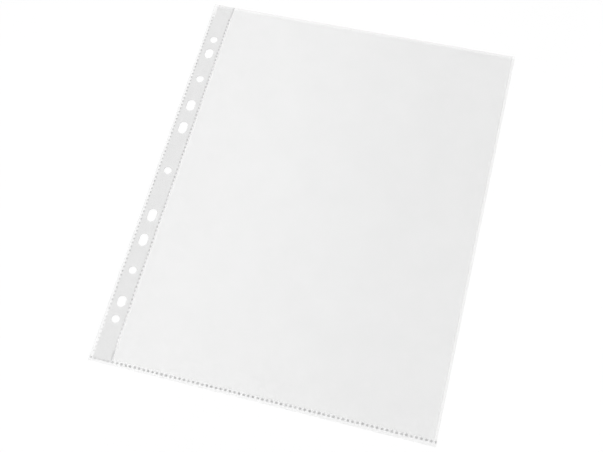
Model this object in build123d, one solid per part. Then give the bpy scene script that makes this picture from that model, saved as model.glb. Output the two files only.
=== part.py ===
from build123d import *
import os

# Multi-punched document pocket of clear embossed polypropylene film, lying flat.
# Frame: origin at the middle of the underside, +X from the binding strip to the
# folded side, +Y from the sealed foot to the open mouth, +Z up through the films.
# Millimetres throughout.

# ---------------------------------------------------------------- overall size
WIDTH = 240.0          # strip edge to folded edge
HEIGHT = 306.0         # sealed foot to mouth
FILM = 0.08            # one layer of film
TAPE = 0.12            # reinforcing strip between the two layers
MOUTH_STEP = 2.1       # the front film stops this far short of the back film

X0, X1 = -WIDTH / 2, WIDTH / 2
Y0, Y1 = -HEIGHT / 2, HEIGHT / 2
Z_BACK = FILM                      # top of the back film
Z_FRONT = FILM + TAPE              # underside of the front film
Z_TOP = FILM + TAPE + FILM         # top of the front film
Y_MOUTH = Y1 - MOUTH_STEP          # mouth edge of the front film

# -------------------------------------------------------------- binding margin
MARGIN = 16.3          # width of the punched margin, out to the flex line
FLEX_GAP = 0.2         # slit that stands for the flex line of the film
TAPE_IN = 1.3          # strip edge to the tape
TAPE_OUT = 16.1        # strip edge to the tape's inner edge
TAPE_FOOT = 1.9        # foot edge to the tape's end

# ---------------------------------------------------------------- punched holes
HOLE_X = X0 + 8.75     # centre line of the holes
HOLE_MID = -0.45       # the row of holes sits this far off the middle of the height
ROUND_D = 5.8
ROUND_Y = [0.0, 82.4, -82.4, 120.0, -120.0]
SLOT_W = 6.3
SLOTS = [(37.8, 10.4), (58.0, 9.8), (106.6, 8.6)]   # (distance from the middle hole, length)

# ------------------------------------------------------------------ weld seams
OUTER_PITCH = 3.214    # from spot to spot in the outer seam
OUTER_START = Y0 + 7.11  # lowest spot of the outer seam
INNER_PITCH = 3.21     # from spot to spot in the inner seam
INNER_START = Y0 + 7.30  # where the row of the inner seam would start, under its foot bar
FOOT_PITCH = 3.2287    # from spot to spot in the foot seam
FOOT_START = X0 + 0.93 # first spot of the foot seam
SPOT = 1.4             # side of one welded spot
WINDOW = 1.5           # opening in the tape round a spot
OUTER_X = X0 + 1.87    # seam along the free edge of the margin
INNER_X = X0 + 15.2    # seam between the margin and the pocket
FOOT_Y = Y0 + 2.42     # seam along the foot, at the strip edge
FOOT_SLANT = 0.0033    # the foot seam climbs by this much per millimetre towards the fold
BAR_W = 1.0            # solid bars at both ends of the inner seam
BAR_X = X0 + 15.5      # the bars stand a little closer to the pocket
BAR_FOOT = (Y0 + 4.3, Y0 + 11.0)
BAR_TOP = (Y1 - 10.6, Y1 - 0.3)
OUTER_TOP = Y1 - 9.0   # the outer seam ends here

# ------------------------------------------------------------ pocket and mouth
FOLD_BAND = 1.7        # width of the creased band along the folded side
FOOT_BAND = 4.2        # height of the sealed band along the foot
LEAF_GAP = 0.1         # slit round the part of the front film that lifts
MOUTH_REST = 0.1       # degrees: an empty pocket lies with its mouth open by about half a millimetre


def slab(x_lo, x_hi, y_lo, y_hi, z_lo, z_hi):
    """Rectangular sheet of film between two corners."""
    box = Box(x_hi - x_lo, y_hi - y_lo, z_hi - z_lo)
    return Pos((x_lo + x_hi) / 2, (y_lo + y_hi) / 2, (z_lo + z_hi) / 2) * box


def hole_cutters():
    """Outlines of the punched holes: round ones, and slots along the margin."""
    cutters = [Pos(HOLE_X, HOLE_MID + y) * Circle(ROUND_D / 2) for y in ROUND_Y]
    for y, length in SLOTS:
        for side in (1, -1):
            cutters.append(Pos(HOLE_X, HOLE_MID + side * y) * Rot(0, 0, 90) * SlotOverall(length, SLOT_W))
    return cutters


def punched(x_lo, x_hi, y_lo, y_hi, z_lo, z_hi, more=()):
    """Sheet with the holes, and any further openings, punched through it."""
    outline = Pos((x_lo + x_hi) / 2, (y_lo + y_hi) / 2) * Rectangle(x_hi - x_lo, y_hi - y_lo)
    outline = outline - (hole_cutters() + list(more))
    return Pos(0, 0, z_lo) * extrude(outline, amount=z_hi - z_lo)


def spots(points):
    """Welded spots: small blocks of melt that join the two films, cut off where the fold begins."""
    return [slab(x - SPOT / 2, min(x + SPOT / 2, X1 - FILM - 0.05), y - SPOT / 2, y + SPOT / 2, Z_BACK, Z_FRONT)
            for x, y in points]


def solids_of(shapes):
    return Compound(children=[s.solid() for s in shapes])


# ------------------------------------------------------------- seam positions
margin_foot, pocket_foot = [], []
clear_of_flex = X0 + MARGIN + FLEX_GAP + SPOT / 2 + 0.05
x = FOOT_START
while x < X1:
    y = FOOT_Y + FOOT_SLANT * (x - X0)
    if x + SPOT / 2 < X0 + MARGIN:
        margin_foot.append((x, y))
    else:
        pocket_foot.append((max(x, clear_of_flex), y))
    x += FOOT_PITCH

outer_points, inner_points = [], []
y = OUTER_START
while y < OUTER_TOP:
    outer_points.append((OUTER_X, y))
    y += OUTER_PITCH
y = INNER_START
while y + SPOT / 2 < BAR_TOP[0] - 0.8:
    if y - SPOT / 2 > BAR_FOOT[1] + 0.8:
        inner_points.append((INNER_X, y))
    y += INNER_PITCH

# ------------------------------------------------------------------- the pieces
parts = {}

# back and front film of the margin, with the strip sandwiched between them
parts["back_film_margin"] = punched(X0, X0 + MARGIN, Y0, Y1, 0.0, Z_BACK)
parts["front_film_margin"] = punched(X0, X0 + MARGIN, Y0, Y_MOUTH, Z_FRONT, Z_TOP)

windows = [Pos(px, py) * Rectangle(WINDOW, WINDOW)
           for px, py in margin_foot + outer_points + inner_points]
for lo, hi in (BAR_FOOT, BAR_TOP):
    windows.append(Pos(BAR_X + 0.2, (lo + hi) / 2) * Rectangle(BAR_W + 0.5, hi - lo + 0.1))
parts["reinforcing_strip"] = punched(X0 + TAPE_IN, X0 + TAPE_OUT, Y0 + TAPE_FOOT, Y_MOUTH,
                                     Z_BACK, Z_FRONT, windows)

parts["outer_weld_seam"] = solids_of(spots(outer_points))
bars = [slab(BAR_X - BAR_W / 2, BAR_X + BAR_W / 2, lo, hi, Z_BACK, Z_FRONT)
        for lo, hi in (BAR_FOOT, BAR_TOP)]
parts["inner_weld_seam"] = solids_of(spots(inner_points) + bars)
parts["margin_foot_weld"] = solids_of(spots(margin_foot))

# pocket: back film, creased side, and the bands of front film that stay down
px = X0 + MARGIN + FLEX_GAP
parts["back_panel"] = slab(px, X1 - FILM, Y0, Y1, 0.0, Z_BACK)
parts["side_crease"] = slab(X1 - FILM, X1, Y0, Y_MOUTH, 0.0, Z_TOP)
parts["front_side_band"] = slab(X1 - FOLD_BAND, X1 - FILM, Y0 + FOOT_BAND, Y_MOUTH, Z_FRONT, Z_TOP)
parts["front_foot_band"] = slab(px, X1 - FILM, Y0, Y0 + FOOT_BAND, Z_FRONT, Z_TOP)
parts["foot_weld_seam"] = solids_of(spots(pocket_foot))

# front film of the pocket, free to lift at the mouth; it bends up along the top of the foot band
leaf = slab(px + LEAF_GAP, X1 - FOLD_BAND - LEAF_GAP,
            Y0 + FOOT_BAND + LEAF_GAP, Y_MOUTH, Z_FRONT, Z_TOP)
bend = Axis((0, Y0 + FOOT_BAND + LEAF_GAP / 2, Z_FRONT), (1, 0, 0))
parts["front_panel"] = leaf.rotate(bend, MOUTH_REST)

os.makedirs("parts", exist_ok=True)
for name, shape in parts.items():
    export_step(shape, "parts/" + name + ".step")
    print(name, len(shape.solids()), round(shape.volume, 3))
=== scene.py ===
import math

import bpy
import numpy as np
from mathutils import Matrix, Vector


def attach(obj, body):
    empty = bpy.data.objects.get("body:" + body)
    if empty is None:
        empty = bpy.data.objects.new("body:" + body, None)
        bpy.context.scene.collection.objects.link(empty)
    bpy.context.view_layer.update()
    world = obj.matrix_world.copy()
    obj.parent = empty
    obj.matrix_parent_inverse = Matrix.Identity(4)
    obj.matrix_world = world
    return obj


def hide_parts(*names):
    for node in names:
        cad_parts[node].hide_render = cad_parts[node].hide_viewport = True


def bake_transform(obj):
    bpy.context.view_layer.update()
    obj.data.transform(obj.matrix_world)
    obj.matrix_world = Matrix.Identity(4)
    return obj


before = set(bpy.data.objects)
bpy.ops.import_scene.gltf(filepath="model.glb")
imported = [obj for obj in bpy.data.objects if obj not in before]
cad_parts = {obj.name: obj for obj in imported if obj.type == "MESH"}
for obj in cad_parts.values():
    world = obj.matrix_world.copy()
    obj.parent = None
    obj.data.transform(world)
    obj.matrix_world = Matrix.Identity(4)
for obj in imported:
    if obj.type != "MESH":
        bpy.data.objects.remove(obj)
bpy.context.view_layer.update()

# A punched pocket of embossed film, lying flat on a white table. Lengths are in
# millimetres up to the moment a mesh is made.
MM = 0.001
X0, X1, Y0, Y1 = -120.0, 120.0, -153.0, 153.0
MOUTH = Y1 - 2.1            # edge of the front film at the mouth
FLEX = X0 + 16.3            # flex line between the margin and the pocket
FOOT_BAND = Y0 + 4.25       # top of the sealed band along the foot
FOLD_BAND = X1 - 1.7        # inner edge of the band along the folded side
WEB_END = X0 + 20.3         # the front film stays down this far from the inner seam
FILM = 0.08
Z_FRONT = 0.20              # underside of the front film

HOLE_X, HOLE_MID = X0 + 8.75, -0.45
HOLES = [(HOLE_MID, 5.8, 5.8)]   # (place along the strip, length, width)
for _y, _length, _width in ((37.8, 10.4, 6.3), (58.0, 9.8, 6.3), (82.4, 5.8, 5.8), (106.6, 8.6, 6.3), (120.0, 5.8, 5.8)):
    HOLES += [(HOLE_MID + _y, _length, _width), (HOLE_MID - _y, _length, _width)]
HOLES.sort()

OUTER_PITCH, OUTER_START = 3.214, Y0 + 7.11    # spots of the two side seams
INNER_PITCH, INNER_START = 3.21, Y0 + 7.30
FOOT_PITCH, FOOT_START = 3.2287, X0 + 0.93     # spots of the foot seam
OUTER_X, INNER_X, BAR_X = X0 + 1.87, X0 + 15.2, X0 + 15.5
FOOT_Y, SLANT = Y0 + 2.42, 0.0033              # the foot seam climbs a little towards the fold


# ------------------------------------------------------------------ materials
def material(name):
    m = bpy.data.materials.new(name)
    m.use_nodes = True
    nt = m.node_tree
    nt.nodes.clear()
    out = nt.nodes.new("ShaderNodeOutputMaterial")
    bsdf = nt.nodes.new("ShaderNodeBsdfPrincipled")
    nt.links.new(bsdf.outputs["BSDF"], out.inputs["Surface"])
    uv = nt.nodes.new("ShaderNodeUVMap")
    uv.uv_map = "UVMap"
    return m, nt, bsdf, uv


def noise(nt, vector, scale, detail=2.0, rough=0.5):
    n = nt.nodes.new("ShaderNodeTexNoise")
    n.inputs["Scale"].default_value = scale
    n.inputs["Detail"].default_value = detail
    n.inputs["Roughness"].default_value = rough
    nt.links.new(vector, n.inputs["Vector"])
    return n.outputs["Fac"]


def stretched(nt, vector, sx, sy):
    mp = nt.nodes.new("ShaderNodeMapping")
    mp.inputs["Scale"].default_value = (sx, sy, 1.0)
    nt.links.new(vector, mp.inputs["Vector"])
    return mp.outputs["Vector"]


def span(nt, value, lo, hi, a=0.3, b=0.7):
    r = nt.nodes.new("ShaderNodeMapRange")
    r.inputs["From Min"].default_value = a
    r.inputs["From Max"].default_value = b
    r.inputs["To Min"].default_value = lo
    r.inputs["To Max"].default_value = hi
    nt.links.new(value, r.inputs["Value"])
    return r.outputs["Result"]


def ramp(nt, value, dark, light, a=0.3, b=0.7):
    r = nt.nodes.new("ShaderNodeValToRGB")
    r.color_ramp.elements[0].position = a
    r.color_ramp.elements[0].color = (*dark, 1.0)
    r.color_ramp.elements[1].position = b
    r.color_ramp.elements[1].color = (*light, 1.0)
    nt.links.new(value, r.inputs["Fac"])
    return r.outputs["Color"]


def bump(nt, bsdf, height, strength, distance):
    b = nt.nodes.new("ShaderNodeBump")
    b.inputs["Strength"].default_value = strength
    b.inputs["Distance"].default_value = distance
    nt.links.new(height, b.inputs["Height"])
    nt.links.new(b.outputs["Normal"], bsdf.inputs["Normal"])


def grey(v, warm=0.0):
    return (v * (1 + warm), v, v * (1 - warm))


def film(name, alpha, dark, light, rough=(0.26, 0.38), grain=0.12):
    """Polypropylene film: a hazy clear sheet with a fine embossed grain. One UV unit is 100 mm."""
    m, nt, bsdf, uv = material(name)
    cloud = noise(nt, uv.outputs["UV"], 3.5, 3.0)
    nt.links.new(ramp(nt, cloud, grey(dark), grey(light)), bsdf.inputs["Base Color"])
    fine = noise(nt, uv.outputs["UV"], 170.0, 2.0)
    nt.links.new(span(nt, noise(nt, uv.outputs["UV"], 24.0, 3.0), *rough), bsdf.inputs["Roughness"])
    bump(nt, bsdf, fine, grain, 0.00006)
    bsdf.inputs["Alpha"].default_value = alpha
    bsdf.inputs["IOR"].default_value = 1.8
    bsdf.inputs["Specular IOR Level"].default_value = 1.0
    return m


# each film is embossed and hazy on one face, and smooth and clear on the other
M_FILM = film("film_embossed", 0.31, 0.802, 0.822, (0.31, 0.42))
M_FACE = film("film_smooth_face", 0.02, 0.797, 0.817, (0.12, 0.2), 0.04)
M_CLEAR = film("film_over_strip", 0.05, 0.77, 0.79, (0.2, 0.3), 0.08)
# Clear pressed film. On the margin's rim this is the pressed film's own clearness. Along the fold it is painted
# highlight: the band is made clearer so that it shows as light as the fold's sheen.
M_PRESSED_CLEAR_AND_FOLD_HIGHLIGHT = film("film_pressed_clear_and_fold_highlight", 0.06, 0.75, 0.77, (0.18, 0.28), 0.06)
M_FOOT = film("film_pressed_foot", 0.055, 0.73, 0.75, (0.18, 0.28), 0.06)
M_END = film("film_strip_end", 0.32, 0.80, 0.82, (0.31, 0.42))
M_CUT = film("film_cut_edge", 0.15, 0.64, 0.70, (0.3, 0.45), 0.05)
# Darker film round the holes: the punched burr's own edge, with painted shade along each hole's rim.
M_BURR_AND_RIM_SHADE = film("film_punched_edge_and_rim_shade", 0.15, 0.61, 0.67, (0.3, 0.45), 0.05)


def tape():
    """Reinforcing strip: translucent grey-white tape with faint lengthwise streaks."""
    m, nt, bsdf, uv = material("strip_tape")
    streak = noise(nt, stretched(nt, uv.outputs["UV"], 60.0, 4.0), 1.0, 3.0)
    nt.links.new(ramp(nt, streak, grey(0.788), grey(0.808)), bsdf.inputs["Base Color"])
    nt.links.new(span(nt, noise(nt, uv.outputs["UV"], 30.0, 3.0), 0.42, 0.56), bsdf.inputs["Roughness"])
    bump(nt, bsdf, noise(nt, stretched(nt, uv.outputs["UV"], 300.0, 60.0), 1.0, 2.0), 0.15, 0.00005)
    bsdf.inputs["Alpha"].default_value = 0.65
    bsdf.inputs["IOR"].default_value = 1.5
    return m


def weld(name, alpha, pale, dark):
    """Melted spots: darker where the melt is complete, and glossier than the film."""
    m, nt, bsdf, uv = material(name)
    melt = nt.nodes.new("ShaderNodeAttribute")
    melt.attribute_name = "melt"
    mix = nt.nodes.new("ShaderNodeMath")
    mix.operation = "MULTIPLY_ADD"
    mix.inputs[1].default_value = 0.2
    nt.links.new(noise(nt, uv.outputs["UV"], 90.0, 3.0), mix.inputs[0])
    nt.links.new(melt.outputs["Fac"], mix.inputs[2])
    nt.links.new(ramp(nt, mix.outputs["Value"], grey(pale), grey(dark), 0.1, 0.9), bsdf.inputs["Base Color"])
    nt.links.new(span(nt, noise(nt, uv.outputs["UV"], 140.0, 2.0), 0.18, 0.34), bsdf.inputs["Roughness"])
    bump(nt, bsdf, noise(nt, uv.outputs["UV"], 220.0, 2.0), 0.2, 0.00004)
    bsdf.inputs["Alpha"].default_value = alpha
    bsdf.inputs["IOR"].default_value = 1.5
    return m


M_TAPE = tape()
M_WELD = weld("weld_melt", 0.95, 0.66, 0.35)
M_WELD_CLEAR = weld("weld_clear", 0.11, 0.78, 0.66)


# --------------------------------------------------------------- mesh building
def lines(marks, step):
    """Grid lines through all the marks and no further apart than step."""
    out = [marks[0]]
    for a, b in zip(marks, marks[1:]):
        n = max(1, math.ceil((b - a) / step - 1e-6))
        out += [a + (b - a) * k / n for k in range(1, n + 1)]
    return np.array(out)


def grid(nx, ny, keep=None):
    """Quads over an nx by ny net of points, point (i, j) being number i * ny + j."""
    return [(i * ny + j, (i + 1) * ny + j, (i + 1) * ny + j + 1, i * ny + j + 1)
            for i in range(nx - 1) for j in range(ny - 1) if keep is None or keep(i, j)]


def make(name, verts, faces, mats, which, uvs, melt=None):
    used = sorted({v for f in faces for v in f})
    if len(used) < len(verts):
        new = np.full(len(verts), -1)
        new[used] = np.arange(len(used))
        verts, uvs = verts[used], uvs[used]
        melt = None if melt is None else melt[used]
        faces = [tuple(int(new[v]) for v in f) for f in faces]
    mesh = bpy.data.meshes.new(name)
    mesh.from_pydata([tuple(v) for v in (verts * MM).tolist()], [], faces)
    for m in mats:
        mesh.materials.append(m)
    mesh.polygons.foreach_set("material_index", np.array(which, np.int32))
    mesh.polygons.foreach_set("use_smooth", np.ones(len(faces), bool))
    loops = np.empty(len(mesh.loops), np.int32)
    mesh.loops.foreach_get("vertex_index", loops)
    layer = mesh.uv_layers.new(name="UVMap")
    layer.data.foreach_set("uv", (uvs[loops] / 100.0).astype(np.float32).ravel())
    if melt is not None:
        mesh.attributes.new("melt", "FLOAT", "POINT").data.foreach_set("value", melt.astype(np.float32))
    mesh.update()
    mesh.set_sharp_from_angle(angle=math.radians(38))
    obj = bpy.data.objects.new(name, mesh)
    bpy.context.scene.collection.objects.link(obj)
    return obj


def shell(name, upper, lower, quads, labels, flat, mats):
    """Closed sheet between two copies of one net of quads, walled in along every free edge.
    labels are the places in mats for each quad; the walls take the last material, and the lower
    side of the embossed film is its smooth face."""
    n = len(upper)
    edges = {(a, b) for q in quads for a, b in zip(q, q[1:] + q[:1])}
    walls = sorted((b, a, a + n, b + n) for a, b in edges if (b, a) not in edges)
    faces = list(quads) + [tuple(v + n for v in reversed(q)) for q in quads] + walls
    under = [len(mats) if mats[k] is M_FILM else k for k in labels]
    which = list(labels) + under + [len(mats) - 1] * len(walls)
    mats = mats + [M_FACE] if M_FILM in mats else mats
    return make(name, np.vstack([upper, lower]), faces, mats, which, np.vstack([flat, flat + 0.05]))


def stadium(r, s, share):
    """Point of the first quarter of a slot's outline, by its share of the quarter's length."""
    d = share * (s + math.pi * r / 2)
    if d <= s:
        return r, d
    a = (d - s) / r
    return r * math.cos(a), s + r * math.sin(a)


PATCH = (HOLE_X - 5.0, HOLE_X + 5.0)
RINGS = (1.0, 0.5, 0.2, 0.0)


def punched(xs, ys, aside=(0.0, 0.0), wider=0.0):
    """Net of quads over a margin, with rings of quads round each hole. Returns points, quads and ring numbers."""
    nx, ny = len(xs), len(ys)
    pts = [(x, y) for x in xs for y in ys]
    i0, i1 = int(np.argmin(abs(xs - PATCH[0]))), int(np.argmin(abs(xs - PATCH[1])))
    spans = []
    for y, length, width in HOLES:
        h = length / 2 + 2.0
        spans.append((int(np.argmin(abs(ys - (y - h)))), int(np.argmin(abs(ys - (y + h))))))
    quads = grid(nx, ny, lambda i, j: not (i0 <= i < i1 and any(a <= j < b for a, b in spans)))
    rings = [9] * len(quads)
    for (y, length, width), (j0, j1) in zip(HOLES, spans):
        loop = [(i, j0) for i in range(i0, i1)] + [(i1, j) for j in range(j0, j1)]
        loop += [(i, j1) for i in range(i1, i0, -1)] + [(i0, j) for j in range(j1, j0, -1)]
        outer = [i * ny + j for i, j in loop]
        a, b = (xs[i1] - xs[i0]) / 2, (ys[j1] - ys[j0]) / 2
        for k, off in enumerate(RINGS):
            r, s = width / 2 + off + wider, (length - width) / 2
            inner = []
            for i, j in loop:
                dx, dy = xs[i] - HOLE_X, ys[j] - y
                d = abs(dy) if i in (i0, i1) else b + a - abs(dx)
                px, py = stadium(r, s, d / (a + b))
                inner.append(len(pts))
                pts.append((HOLE_X + aside[0] + math.copysign(px, dx), y + aside[1] + math.copysign(py, dy)))
            m = len(loop)
            for t in range(m):
                u = (t + 1) % m
                quads.append((outer[t], outer[u], inner[u], inner[t]))
                rings.append(k)
            outer = inner
    return np.array(pts), quads, rings


def smooth(t):
    t = np.clip(t, 0.0, 1.0)
    return t * t * (3 - 2 * t)


def seam_y(x):
    """Line of the foot seam."""
    return FOOT_Y + SLANT * (x - X0)


def lean(x, y):
    """Rows of the foot band follow the foot seam, which isn't quite square to the edge."""
    return y + SLANT * (x - X0) * np.clip((y - Y0) / 1.6, 0, 1) * np.clip((FOOT_BAND - y) / 1.0, 0, 1)


def edge_in(y):
    """How far the strip's long edge stands in: it draws in between the spots and at both ends, and wavers a little."""
    ends = 1.1 * smooth((Y0 + 46.0 - y) / 40.0) + 1.55 * smooth((y - Y1 + 21.0) / 10.0)
    between = 0.5 - 0.5 * np.cos(2 * np.pi * (y - OUTER_START) / OUTER_PITCH)
    return 0.16 + ends + 0.9 * between * np.clip(1 - ends, 0, 1) + 0.06 * np.sin(y / 1.7 + 0.4) + 0.07 * np.sin(y / 4.3 + 2.0)


def edge_back(y):
    """How far the strip's other long edge stands back from the pocket: a little, and more between the spots."""
    between = 0.5 - 0.5 * np.cos(2 * np.pi * (y - INNER_START) / INNER_PITCH)
    mid = smooth((y - Y0 - 11.0) / 3.0) * smooth((Y1 - 11.0 - y) / 3.0)
    return 0.02 + 0.85 * between * mid + 0.03 * np.sin(y / 2.3 + 1.0)


def hole_gap(x, y):
    """Distance to the rim of the nearest hole."""
    d = np.full(np.shape(x), 99.0)
    for hy, length, width in HOLES:
        along = np.maximum(np.abs(y - hy) - (length - width) / 2, 0.0)
        d = np.minimum(d, np.hypot(x - HOLE_X, along) - width / 2)
    return d


def pucker(x, y):
    """The film stands up a little between the spots of the two side seams and the foot seam."""
    left = 0.5 - 0.5 * np.cos(2 * np.pi * (y - OUTER_START) / OUTER_PITCH)
    right = 0.5 - 0.5 * np.cos(2 * np.pi * (y - INNER_START) / INNER_PITCH)
    foot = 0.5 - 0.5 * np.cos(2 * np.pi * (x - FOOT_START) / FOOT_PITCH)
    ends = smooth((y - Y0 - 4.5) / 4.0) * smooth((Y1 - 8.0 - y) / 6.0)
    out = ends * (left * np.exp(-((x - OUTER_X) / 1.3) ** 2) + right * np.exp(-((x - INNER_X - 0.3) / 1.5) ** 2))
    return 0.05 * (out + foot * np.exp(-((y - seam_y(x)) / 1.3) ** 2))


def slack(x, y):
    """Slow unevenness of a thin film that lies loose, none at its seams."""
    w = (np.sin(x / 19.0 + y / 31.0 + 0.7) + np.sin(x / 37.0 - y / 23.0 + 2.1)
         + 0.7 * np.sin(x / 11.0 + y / 57.0 + 4.0) + 0.5 * np.sin(x / 61.0 - y / 13.5 + 1.1))
    edge = smooth((x - FLEX) / 22.0) * smooth((FOLD_BAND - x) / 22.0) * smooth((y - FOOT_BAND) / 22.0)
    return w * edge


def front_z(x, y):
    """Underside of the front film of the pocket: it lies down and gapes a little at the mouth."""
    up = np.clip((y - FOOT_BAND) / (MOUTH - FOOT_BAND), 0, 1)
    across = np.clip((x - FLEX - 0.6) / (FOLD_BAND - FLEX - 0.6), 0, 1)
    arch = np.sin(np.pi * across) ** 2
    return Z_FRONT + 0.15 * arch * up ** 1.2 + 0.035 * slack(x, y)


def back_z(x, y):
    return 0.012 * (2.9 + slack(x, y)) * smooth((x - FLEX) / 20.0)


def label(cx, cy, x_clear, top, lip=0.13, foot_clear=1.6):
    """0 film, 1 pressed clear rim, 2 cut edge, 4 pressed foot, 5 hazy end past the mouth, for a place on a margin film."""
    if cx < X0 + lip or cy > top - lip:
        return 2
    if cy < Y0 + foot_clear:
        return 4
    if cx < x_clear:
        return 1
    return 5 if cy > MOUTH else 0


# -------------------------------------------------- binding margin and its strip
COLS = [X0, X0 + 0.12, X0 + 0.7, X0 + 1.3, X0 + 1.6, X0 + 2.0, X0 + 2.5, X0 + 3.2, PATCH[0], PATCH[1],
        X0 + 14.5, X0 + 14.85, INNER_X, X0 + 15.55, X0 + 15.85, X0 + 16.1, FLEX - 0.01]


def margin_lines(marks_x, y_lo, y_hi, extra):
    xs = lines([m for m in marks_x], 0.72)
    marks = {y_lo, y_hi, *extra}
    for y, length, width in HOLES:
        marks |= {y - length / 2 - 2.0, y + length / 2 + 2.0}
    return xs, lines(sorted(marks), 0.55)


def drawn_in(x, y, edge):
    """Moves the columns beside the strip's long edge along with it; edge is that edge's column."""
    rise = np.clip((x - X0 - 0.12) / (edge - X0 - 0.12), 0, 1)
    return x + edge_in(y) * rise * np.clip((PATCH[0] - x) / (PATCH[0] - edge), 0, 1)


def margin(name, top, z_of, thick):
    xs, ys = margin_lines(COLS, Y0, top, [Y0 + 0.12, Y0 + 1.6, MOUTH, top - 0.12])
    pts, quads, rings = punched(xs, ys)
    centres = pts[np.array(quads)].mean(1)
    # the innermost ring round each hole (ring 3) takes the darker burr film: painted shade along the rim, on top of the
    # burr's own edge
    labels = [3 if k == 3 else label(c[0], c[1], X0 + 1.3, top) for c, k in zip(centres, rings)]
    pts[:, 0] = drawn_in(pts[:, 0], pts[:, 1], X0 + 1.3)
    z = z_of(pts[:, 0], pts[:, 1])
    return shell(name, np.c_[pts, z + thick], np.c_[pts, z], quads, labels, pts, [M_CLEAR, M_PRESSED_CLEAR_AND_FOLD_HIGHLIGHT, M_CUT, M_BURR_AND_RIM_SHADE, M_FOOT, M_END, M_CUT])


def front_margin_z(x, y):
    return Z_FRONT + pucker(x, y) + 0.03 * np.exp(-(hole_gap(x, y) / 0.3) ** 2)


back_margin = margin("back_film_margin.film", Y1, lambda x, y: np.zeros_like(x), FILM)
front_margin = margin("front_film_margin.film", MOUTH, front_margin_z, FILM)

TAPE_COLS = [X0 + 1.3, X0 + 1.6, X0 + 1.9, X0 + 2.4, X0 + 3.0, PATCH[0], PATCH[1],
             X0 + 14.5, X0 + 14.85, INNER_X, X0 + 15.55, X0 + 15.85, X0 + 16.1]
txs, tys = margin_lines(TAPE_COLS, Y0 + 1.9, MOUTH - 0.05, [Y0 + 2.1, MOUTH - 0.25])
tpts, tquads, trings = punched(txs, tys, (0.12, -0.14), 0.28)
tpts[:, 0] = drawn_in(tpts[:, 0], tpts[:, 1], X0 + 1.3)
tpts[:, 0] -= edge_back(tpts[:, 1]) * np.clip((tpts[:, 0] - PATCH[1]) / (X0 + 16.1 - PATCH[1]), 0, 1)
strip = shell("reinforcing_strip.tape", np.c_[tpts, np.full(len(tpts), 0.19)], np.c_[tpts, np.full(len(tpts), 0.09)],
              tquads, [0] * len(tquads), tpts, [M_TAPE, M_CUT])

# ------------------------------------------- pocket: back film, fold and side band
bx = lines([FLEX + 0.01, FLEX + 0.4, FLEX + 2.8, X0 + 26.0, X1 - 6.0, FOLD_BAND, X1 - 1.2, X1 - 0.75, X1 - 0.3, X1 - 0.14], 2.6)
by = lines([Y0, Y0 + 0.12, Y0 + 1.6, Y0 + 3.2, FOOT_BAND, Y0 + 20.0, MOUTH - 8.0, MOUTH, Y1 - 0.12, Y1], 2.6)
inner, outer, dev = [], [], []
for x in bx:
    inner.append((x, 0.08)); outer.append((x, 0.0)); dev.append(x)
arc = 9
for k in range(1, arc + 1):
    a = -math.pi / 2 + math.pi * k / arc
    cx, cz = X1 - 0.14, 0.14
    inner.append((cx + 0.06 * math.cos(a), cz + 0.06 * math.sin(a)))
    outer.append((cx + 0.14 * math.cos(a), cz + 0.14 * math.sin(a)))
    dev.append(dev[-1] + 0.1 * math.pi / arc)
for x in (X1 - 0.3, X1 - 0.75, X1 - 1.2, FOLD_BAND + 0.01):
    dev.append(dev[-1] + abs(inner[-1][0] - x))
    inner.append((x, 0.20)); outer.append((x, 0.28))
inner, outer, dev = np.array(inner), np.array(outer), np.array(dev)
nu, nv = len(dev), len(by)
last_back = len(bx) - 1
mouth_row = int(np.argmin(abs(by - MOUTH)))


def web_points(section):
    x = np.repeat(section[:, 0], nv)
    z = np.repeat(section[:, 1], nv)
    y = np.tile(by, nu)
    low = np.repeat(np.arange(nu) <= last_back, nv)
    return np.c_[x, lean(x, y), z + np.where(low, back_z(x, y), 0.0)]


wquads = grid(nu, nv, lambda i, j: i < last_back or j < mouth_row)
wlabels = []
for q in wquads:
    i, j = q[0] // nv, q[0] % nv
    x, y = (inner[i, 0] + inner[i + 1, 0]) / 2, (by[j] + by[j + 1]) / 2
    if y > Y1 - 0.12:
        wlabels.append(2)
    # the band along the fold takes the clear pressed film: painted highlight, standing in for the fold's sheen
    elif x > FOLD_BAND:
        wlabels.append(1)
    elif y < Y0 + 1.6:
        wlabels.append(3)
    else:
        wlabels.append(0)
flat_web = np.c_[np.repeat(dev, nv), np.tile(by, nu)]
back_panel = shell("back_panel.folded_film", web_points(inner), web_points(outer), wquads, wlabels, flat_web,
                   [M_FILM, M_PRESSED_CLEAR_AND_FOLD_HIGHLIGHT, M_CUT, M_FOOT, M_FILM])


# ----------------------------------------------------- front film of the pocket
def front_piece(name, xs, ys, z_of, mats, labels_of, rows=None):
    pts = np.array([(x, y) for x in xs for y in ys])
    quads = grid(len(xs), len(ys))
    centres = pts[np.array(quads)].mean(1)
    if rows:
        pts[:, 1] = rows(pts[:, 0], pts[:, 1])
    z = z_of(pts[:, 0], pts[:, 1])
    return shell(name, np.c_[pts, z + FILM], np.c_[pts, z], quads, [labels_of(c) for c in centres], pts, mats)


def leaf_label(c):
    return 1 if c[1] > MOUTH - 0.12 else 0


def web_label(c):
    return 2 if c[0] < FLEX + 0.4 else leaf_label(c)


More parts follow.
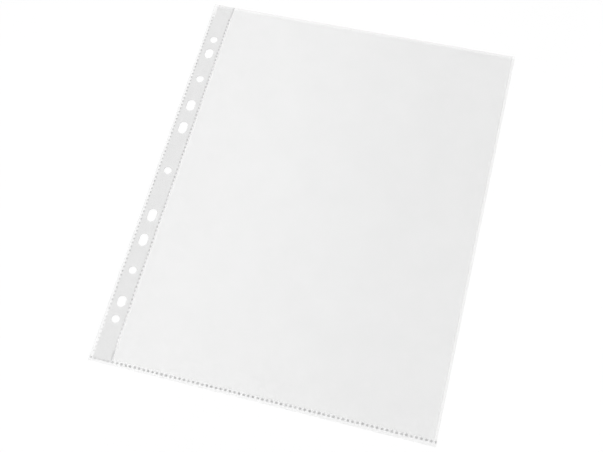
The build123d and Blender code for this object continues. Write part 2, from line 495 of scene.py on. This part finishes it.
fy = lines([FOOT_BAND + 0.01, FOOT_BAND + 0.6, Y0 + 8.0, Y0 + 20.0, MOUTH - 8.0, MOUTH - 0.12, MOUTH], 2.6)
wy = lines([FOOT_BAND + 0.01, FOOT_BAND + 0.6, MOUTH - 0.12, MOUTH], 0.805)
front_web = front_piece("front_panel.web", lines([FLEX + 0.01, FLEX + 0.4, FLEX + 1.2, WEB_END - 0.005], 0.8), wy,
                        lambda x, y: front_z(x, y) + pucker(x, y), [M_FILM, M_CUT, M_PRESSED_CLEAR_AND_FOLD_HIGHLIGHT, M_FILM], web_label)
front_left = front_piece("front_panel.left", lines([WEB_END + 0.005, -0.005], 2.6), fy, front_z, [M_FILM, M_CUT, M_FILM], leaf_label)
front_right = front_piece("front_panel.right", lines([0.005, FOLD_BAND - 0.01], 2.6), fy, front_z, [M_FILM, M_CUT, M_FILM], leaf_label)


def band_label(c):
    return 1 if c[1] < Y0 + 1.6 else 0


foot_band = front_piece("front_foot_band.film", lines([FLEX + 0.01, FOLD_BAND - 0.01], 0.807),
                        np.array([Y0, Y0 + 0.12, Y0 + 0.8, Y0 + 1.6, Y0 + 2.0, Y0 + 2.4, Y0 + 2.8, Y0 + 3.2, FOOT_BAND - 0.01]),
                        lambda x, y: Z_FRONT + pucker(x, y), [M_CLEAR, M_FOOT, M_CLEAR], band_label, lean)


# ------------------------------------------------------------------ weld seams
PROFILE = [(0.30, 0.300), (0.58, 0.305), (0.78, 0.330), (0.90, 0.340), (0.98, 0.325), (1.02, 0.290), (1.02, 0.060), (0.90, 0.030)]


def melted(places):
    """Dished spots and bars of melt. places: (x, y, half width, half height, half straight length, turn, bow, melt)."""
    verts, faces, flat, melts = [], [], [], []
    around = 20
    for x, y, hx, hy, straight, turn, bow, melt in places:
        base = len(verts)
        ct, st = math.cos(turn), math.sin(turn)
        for f, z in PROFILE:
            for k in range(around):
                a = 2 * math.pi * (k + 0.5) / around
                c, s = math.cos(a), math.sin(a)
                p = 3.0 if straight == 0 else 2.4
                g = (abs(c) ** p + abs(s) ** p) ** (-1 / p)
                lx, ly = f * hx * g * c, f * hy * g * s + math.copysign(straight, s)
                if bow:
                    lx += bow * (ly / (straight + hy)) ** 2
                px, py = x + lx * ct - ly * st, y + lx * st + ly * ct
                verts.append((px, py, z))
                flat.append((px, py))
                melts.append(0.8 * melt * (1.0 if f < 0.8 else 0.75))
        for r in range(len(PROFILE) - 1):
            for k in range(around):
                u = (k + 1) % around
                faces.append((base + r * around + k, base + (r + 1) * around + k, base + (r + 1) * around + u, base + r * around + u))
        faces.append(tuple(base + k for k in range(around)))
        faces.append(tuple(base + (len(PROFILE) - 1) * around + k for k in reversed(range(around))))
    return np.array(verts), faces, np.array(flat), np.array(melts)


def seam(name, places):
    verts, faces, flat, melts = melted(places)
    each = len(faces) // len(places)
    which = [1 if p[-1] < 0.3 else 0 for p in places for _ in range(each)]
    return make(name, verts, faces, [M_WELD, M_WELD_CLEAR], which, flat, melts)


rng = np.random.default_rng(11)


def spot(x, y, melt, half=0.75, tall=1.0):
    j = rng.normal(0, 1, 6)
    return (x + 0.05 * j[0], y + 0.05 * j[1], half * (1 + 0.06 * j[2]), tall * half * (1 + 0.06 * j[4]), 0.0, 0.12 * j[5], 0.0,
            float(np.clip(melt * (1 + 0.12 * j[3]), 0, 1)))


def bar(x, lo, hi, bow, melt, half=0.45):
    return (x, (lo + hi) / 2, half, 0.5, (hi - lo) / 2 - 0.5, 0.0, bow, melt)


outer_seam = []
inner_seam = [bar(BAR_X + 0.1, seam_y(BAR_X) + 0.9, Y0 + 11.0, 0.1, 0.45), bar(BAR_X + 0.3, Y1 - 10.6, Y1 - 0.3, 0.1, 0.32, 0.37)]
y = OUTER_START
while y < Y1 - 9.0:
    near = min(float(smooth((y - Y0 - 24.0) / 34.0)), float(smooth((Y1 - 7.0 - y) / 9.0)))
    high = float(smooth((y + 20.0) / 120.0))
    outer_seam.append(spot(OUTER_X, y, 0.1 + (0.62 + 0.08 * high) * near, 0.56))
    y += OUTER_PITCH
y = INNER_START
while y + 0.7 < Y1 - 11.4:
    if y - 0.7 > Y0 + 11.8:
        high = float(smooth((y + 20.0) / 120.0))
        inner_seam.append(spot(INNER_X + 0.17, y, 0.32 + 0.42 * float(smooth((y - Y0 - 18.0) / 34.0)) + 0.03 * high, 0.62))
    y += INNER_PITCH
margin_foot, pocket_foot = [], []
x = FOOT_START
while x < X1 - 1.0:
    first = x < X0 + 2.0
    melt = 0.47 + 0.42 * float(smooth((x - X0 - 10.0) / 30.0)) - 0.15 * float(smooth((x + 20.0) / 80.0))
    (margin_foot if x < FLEX else pocket_foot).append(spot(x + 0.35 * first, seam_y(x) - 0.09, melt, 0.6 if first else 0.76, 0.93))
    x += FOOT_PITCH
# the last spot of the foot seam is cut off by the fold
pocket_foot.append((X1 - 0.5, seam_y(X1 - 0.5), 0.42, 0.75, 0.0, 0.0, 0.0, 0.85))

weld_outer = seam("outer_weld_seam.spots", outer_seam)
weld_inner = seam("inner_weld_seam.spots", inner_seam)
weld_margin_foot = seam("margin_foot_weld.spots", margin_foot)
weld_foot = seam("foot_weld_seam.spots", pocket_foot)

# ------------------------------------------------------------- frame: parents, baked transforms and hidden CAD parts
for obj, node, slot in ((back_margin, "back_film_margin", "film"), (front_margin, "front_film_margin", "film"),
                        (strip, "reinforcing_strip", "strip"), (weld_outer, "outer_weld_seam", "weld"),
                        (weld_inner, "inner_weld_seam", "weld"), (weld_margin_foot, "margin_foot_weld", "weld")):
    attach(obj, "binding_edge")
    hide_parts(node)

for obj, nodes, slot in ((back_panel, ("back_panel", "side_crease", "front_side_band"), "film"),
                         (foot_band, ("front_foot_band",), "film"), (weld_foot, ("foot_weld_seam",), "weld"),
                         (front_web, ("front_panel",), "film")):
    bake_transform(obj)
    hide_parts(*nodes)
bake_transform(front_left)
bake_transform(front_right)
for obj in (front_left, front_right):
    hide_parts("front_panel")

# ------------------------------------------------------------------ white table
n = 40
half = 3.0
g = np.linspace(-half, half, n + 1) / MM
floor_pts = np.array([(x, y, -0.02) for x in g for y in g])
floor_m, fnt, fb, fuv = material("table_white")
fnt.links.new(ramp(fnt, noise(fnt, fuv.outputs["UV"], 0.8, 3.0), grey(0.796), grey(0.804)), fb.inputs["Base Color"])
fnt.links.new(span(fnt, noise(fnt, fuv.outputs["UV"], 40.0, 2.0), 0.55, 0.65), fb.inputs["Roughness"])
fb.inputs["Specular IOR Level"].default_value = 0.1
floor = make("table", floor_pts, grid(n + 1, n + 1), [floor_m], [0] * (n * n), floor_pts[:, :2])

# ------------------------------------------------------------- light and camera
scene = bpy.context.scene
scene.view_settings.view_transform = "Standard"
scene.view_settings.look = "None"
scene.cycles.transparent_max_bounces = 32

world = bpy.data.worlds.new("studio")
world.use_nodes = True
wn = world.node_tree.nodes
bg = wn.get("Background") or wn.new("ShaderNodeBackground")
bg.inputs["Color"].default_value = (1.0, 1.0, 1.0, 1.0)
bg.inputs["Strength"].default_value = 0.789
scene.world = world


def softbox(name, at, towards, size, power):
    """Rectangular soft light; the second size runs along the table's Y axis."""
    z = -Vector(towards).normalized()
    x = Vector((0.0, 1.0, 0.0)).cross(z).normalized()
    y = z.cross(x)
    lamp = bpy.data.lights.new(name, "AREA")
    lamp.shape = "RECTANGLE"
    lamp.size, lamp.size_y = size
    lamp.energy = power
    obj = bpy.data.objects.new(name, lamp)
    obj.matrix_world = Matrix((
        (x.x, y.x, z.x, at[0]), (x.y, y.y, z.y, at[1]), (x.z, y.z, z.z, at[2]), (0.0, 0.0, 0.0, 1.0)))
    scene.collection.objects.link(obj)
    return obj


softbox("key", (-0.433, 0.475, 1.0), (0.0, 0.0, -1.0), (0.63, 1.5), 4.305)
softbox("fill", (0.58, -0.50, 1.0), (0.0, 0.0, -1.0), (0.63, 1.25), 2.33)
softbox("fill_right", (0.95, 0.5, 1.0), (0.0, 0.0, -1.0), (0.5, 0.9), 4.19)
softbox("fill_front", (-0.5, -0.85, 1.0), (0.0, 0.0, -1.0), (0.9, 0.5), 3.08)

cam_data = bpy.data.cameras.new("camera")
cam_data.sensor_fit = "HORIZONTAL"
cam_data.sensor_width = 36.0
cam_data.lens = 57.26505
cam_data.shift_x = 0.059390
cam_data.shift_y = 0.012624
cam_data.clip_start, cam_data.clip_end = 0.01, 50.0
cam = bpy.data.objects.new("camera", cam_data)
cam.matrix_world = Matrix((
    (0.9608862389, -0.2101216888, 0.1804065182, 0.09749060),
    (0.2649725050, 0.8869800487, -0.3782273983, -0.29295052),
    (-0.0805432026, 0.4112362693, 0.9079633932, 0.62325361),
    (0.0, 0.0, 0.0, 1.0)))
scene.collection.objects.link(cam)
scene.camera = cam

bpy.context.view_layer.update()
